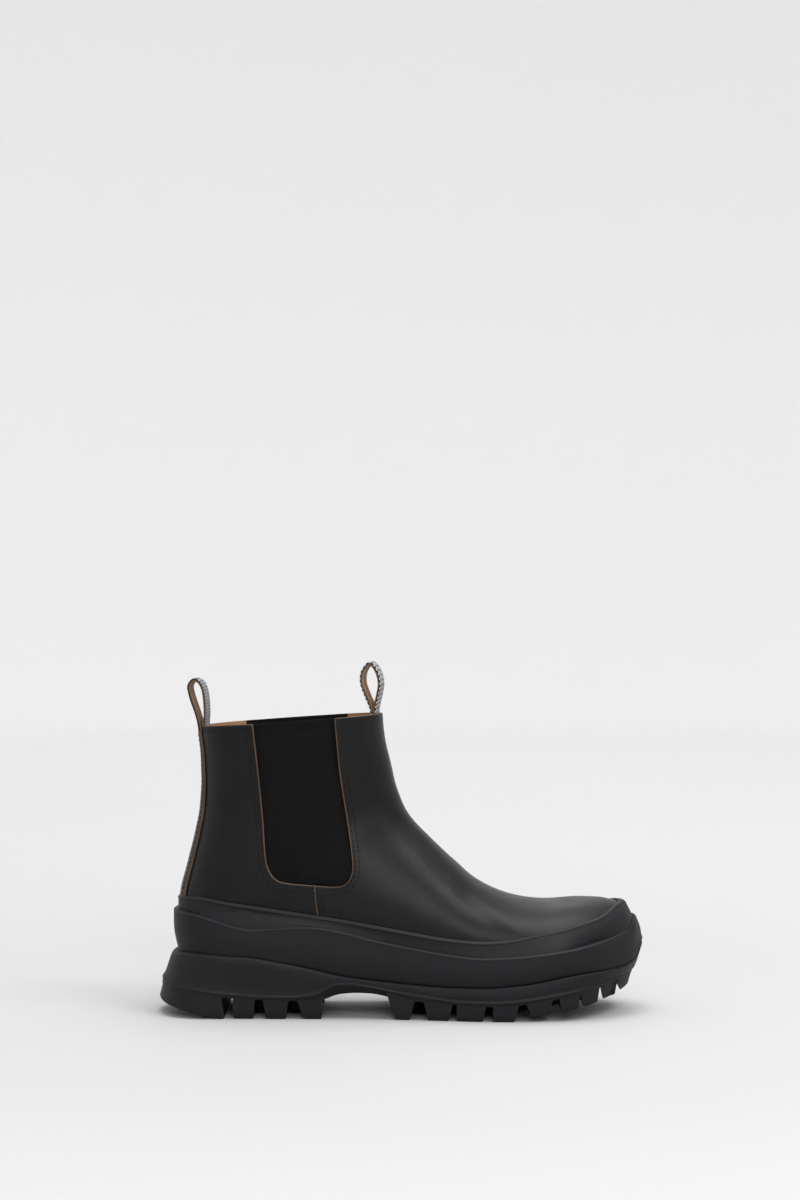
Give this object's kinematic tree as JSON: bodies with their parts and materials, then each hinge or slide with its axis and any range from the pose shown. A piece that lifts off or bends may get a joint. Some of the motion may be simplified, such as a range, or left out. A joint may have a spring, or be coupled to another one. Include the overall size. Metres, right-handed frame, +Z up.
{
  "type": "chelsea boot",
  "caption": "Ankle-high chelsea boot for the right foot: leather upper with elastic side gores, pull tabs front and rear, and a lugged rubber cup sole.",
  "frame": {"origin": "middle of the boot's footprint box, on the ground", "axes": "+X towards the toe, +Y towards the medial (inner) side of this right boot, +Z up"},
  "size_m": [0.3098, 0.107, 0.2223],
  "materials": {
    "black_leather": "smooth box calf, satin",
    "elastic": "matte ribbed elastic",
    "tan_lining": "vegetable tanned, unfinished",
    "stiffener_board": "pressed fibreboard",
    "footbed": "open cell foam",
    "shank_steel": "brushed spring steel",
    "rubber": "matte moulded rubber",
    "tab_leather": "vegetable tanned, raw edges",
    "tab_webbing": "two tone woven webbing"
  },
  "bodies": {
    "boot": {"vamp": "black_leather", "quarter_lateral": "black_leather", "quarter_medial": "black_leather", "gore_lateral": "elastic", "gore_medial": "elastic", "back_strap": "black_leather", "vamp_lining": "tan_lining", "heel_lining": "tan_lining", "heel_counter": "stiffener_board", "toe_puff": "stiffener_board", "insole_board": "stiffener_board", "footbed_foam": "footbed", "sock_liner": "tan_lining", "bottom_filler": "stiffener_board", "shank": "shank_steel", "rand": "rubber", "midsole": "rubber", "outsole": "rubber", "rear_tab_sewn_end": "tab_webbing", "front_tab_sewn_end": "tab_webbing"},
    "rear_pull_tab": {"rear_tab_leather": "tab_leather", "rear_tab_webbing": "tab_webbing"},
    "front_pull_tab": {"front_tab_leather": "tab_leather", "front_tab_webbing": "tab_webbing"}
  },
  "joints": [
    {"name": "rear_tab_fold", "type": "hinge", "parent": "boot", "child": "rear_pull_tab", "pos_m": [-0.12455, -0.00031, 0.1846], "axis": [0, 1, 0], "range_deg": [-60, 60], "stiffness_Nm_per_rad": 0.02},
    {"name": "front_tab_fold", "type": "hinge", "parent": "boot", "child": "front_pull_tab", "pos_m": [-0.01655, -0.00031, 0.1926], "axis": [0, 1, 0], "range_deg": [-60, 60], "stiffness_Nm_per_rad": 0.02}
  ]
}
